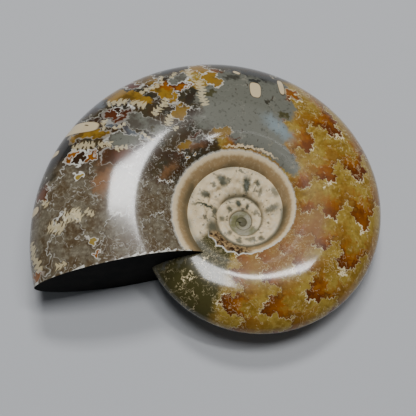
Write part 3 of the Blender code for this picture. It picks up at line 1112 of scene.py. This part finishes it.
def draw_marks(bench, at, ground):
    """Pale lace, chips of cream shell with a dark edge, and small pits."""
    for start, end, width, pitch in LACES:
        mark = lace(bench, at.wavy, start, end, width, pitch)
        ground = bench.blend(bench.times(mark, 0.55), ground, SUTURE_PALE)
    for start, end, width, edge in CHIPS:
        mark = stroke(bench, at.place, start, end, width, edge)
        ground = bench.blend(bench.times(mark["Outline"], 0.7), ground, UMBER)
        ground = bench.blend(mark["Mask"], ground, CREAM)
    pits = 0.0
    for middle, width in PITS:
        mark = stroke(bench, at.place, middle, middle, width * 1.3, 0.3)["Mask"]
        pits = bench.math("MAXIMUM", pits, mark)
    return bench.blend(bench.times(pits, 0.85), ground, UMBER)


def draw_umbilicus(bench, at, ground):
    """A scalloped white line, and the cream edge and tan wall under it, rough near the start; the
    wall is lighter at the edge as a painted highlight and darker down it as painted shade.
    """
    young = bench.rise(at.along, *SCALLOPS_GROW)
    scallop = bench.math("ABSOLUTE", bench.math("SINE", bench.times(at.along, math.pi / SCALLOP)))
    edge = bench.lerp(young, across(0.125), across(0.235))
    edge = bench.math("ADD", edge, bench.times(scallop, bench.lerp(young, 0.006, 0.07)))
    inside = bench.math("SUBTRACT", at.wavy_over, edge)
    wall = bench.rise(inside, -0.006, 0.006)
    # painted light: cream at the top edge as a painted highlight, tan down the wall as painted
    # shade, over the wall's own cream and tan
    stone = bench.blend(bench.rise(inside, 0.05, 0.12), WALL_CREAM_AND_HIGHLIGHT, TAN_AND_WALL_SHADE)
    stone = bench.blend(bench.times(bench.rise(at.mottle, 0.50, 0.66), 0.25), stone, WALL_CREAM_AND_HIGHLIGHT)
    rough = bench.rise(at.ragged_along, *WALL_CRUMBLES)
    crumbs = bench.blend(bench.rise(at.mottle, 0.40, 0.60), UMBER, TAN_AND_WALL_SHADE)
    stone = bench.blend(rough, stone, crumbs)
    ground = bench.blend(wall, ground, stone)
    white = bench.rise(bench.math("ABSOLUTE", inside), 0.028, 0.010)
    bright = bench.window(at.along, *EDGE_BRIGHT, 0.1)
    ground = bench.blend(bench.times(white, bench.lerp(bright, 0.45, 0.95)), ground, SUTURE_WHITE_AND_HIGHLIGHT)
    return ground, wall


def draw_earlier_whorls(bench, at, ground):
    """Cream with grey-green spots and crumbs, green at the core, grey painted shade along the crease
    under the next whorl, and a dark crust with painted shade in the seam.
    """
    earlier = bench.rise(at.wavy_along, *EARLIER_WHORLS)
    cream = bench.blend(bench.rise(at.cloud, 0.35, 0.65), CREAM, WALL_CREAM_AND_HIGHLIGHT)
    cream = bench.blend(bench.times(bench.rise(at.mottle, 0.50, 0.66), 0.35), cream, SUTURE_WHITE_AND_HIGHLIGHT)
    # painted shade: grey along the crease just under the next whorl, broken up by noise
    crease_shade = bench.rise(at.over, across(0.33), across(0.385))
    dim = bench.times(crease_shade, bench.rise(at.drift, 0.35, 0.55), 0.85)
    for middle, end, width, strength in SPOTS:
        mark = stroke(bench, at.ragged, middle, end, width, 0.5)["Mask"]
        dim = bench.math("MAXIMUM", dim, bench.times(mark, strength))
    crumbly = bench.rise(bench.noise(at.spot, *CRUMB_NOISE), 0.56, 0.64)
    dim = bench.math("MAXIMUM", dim, bench.times(crumbly, 0.75))
    cream = bench.blend(dim, cream, SPOT_AND_CREASE_SHADE_GREY)
    core = bench.rise(at.ragged_along, *GREEN_CORE)
    green = bench.blend(bench.rise(at.cloud, 0.4, 0.6), CORE_GREEN, BODY_PALE)
    cream = bench.blend(core, cream, green)
    ground = bench.blend(earlier, ground, cream)
    # dark crust with painted shade along the seam at the foot of each wall
    seam = bench.times(bench.rise(at.wavy_over, across(0.09), across(0.02)),
                       bench.rise(at.drift, 0.30, 0.50), 0.8)
    return bench.blend(seam, ground, CRUST_AND_SEAM_SHADE), earlier


def new_finish(name):
    """A new material, its bench and the inputs of its shader."""
    material = bpy.data.materials.new(name)
    material.use_nodes = True
    tree = material.node_tree
    return material, Bench(tree), tree.nodes["Principled BSDF"].inputs


def make_stone():
    """The polished outside: amber chambers, sutures, stains and the pale umbilical wall."""
    material, bench, shader = new_finish("polished shell")
    at = Chart(bench)
    ground = amber_ground(bench, at)
    ground, dark = later_ground(bench, at, ground)
    ground, outlines = lay_loops(bench, at, ground)
    ground, outlines, pewter = lay_patches(bench, at, ground, outlines, dark)
    ground = draw_sutures(bench, at, ground, outlines, pewter)
    ground = draw_marks(bench, at, ground)
    ground, wall = draw_umbilicus(bench, at, ground)
    ground, earlier = draw_earlier_whorls(bench, at, ground)

    # The polish is best on the outer flank, and the inner slope and the umbilicus have less
    beyond = bench.lerp(bench.rise(at.along, 0.0, 0.4), across(0.36), across(0.48))
    inner = bench.times(bench.rise(bench.math("SUBTRACT", at.over, beyond), -0.03, 0.05),
                        bench.window(at.along, *DULL_STRETCH, 0.1))
    dull = bench.math("MAXIMUM", bench.math("MAXIMUM", inner, bench.times(wall, 0.8)), earlier)
    bench.feed(shader["Base Color"], ground)
    bench.feed(shader["Roughness"], bench.lerp(dull, 0.24, 0.5))
    bench.feed(shader["Coat Weight"], bench.lerp(dull, 0.75, 0.03))
    shader["Specular IOR Level"].default_value = 0.15
    shader["Coat Roughness"].default_value = 0.10
    return material


def make_cut_stone():
    """The sawn mouth: the dark stone that filled the last chamber, a little mottled."""
    material, bench, shader = new_finish("cut stone")
    spot = bench.node("TexCoord").outputs["Object"]
    cloud = bench.noise(spot, *CUT_NOISE)
    ground = bench.blend(bench.rise(cloud, 0.35, 0.7), CUT_BLACK, CUT_GREY)
    bench.feed(shader["Base Color"], ground)
    shader["Roughness"].default_value = 0.8
    shader["Specular IOR Level"].default_value = 0.1
    return material


def make_sawn_edge():
    """The edge round the mouth: brown, with pale patches as a painted highlight along it."""
    material, bench, shader = new_finish("sawn edge")
    spot = bench.node("TexCoord").outputs["Object"]
    # painted highlight: pale patches standing for light caught along the sawn edge
    chips = bench.rise(bench.noise(spot, *LIP_NOISE), 0.42, 0.56)
    ground = bench.blend(chips, BODY_BROWN, SUTURE_WHITE_AND_HIGHLIGHT)
    bench.feed(shader["Base Color"], ground)
    shader["Roughness"].default_value = 0.3
    return material


def make_groups():
    make_crinkle_group()
    make_count_group()
    make_suture_group()
    make_stroke_group()
    make_lace_group()
    make_loop_group()


shell, place = make_shell()
make_groups()
for slot, material in enumerate((make_stone(), make_cut_stone(), make_sawn_edge())):
    shell.data.materials[slot] = material
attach(shell, "root")
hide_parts("ammonite")
set_floor()
set_lights()
set_camera(place)
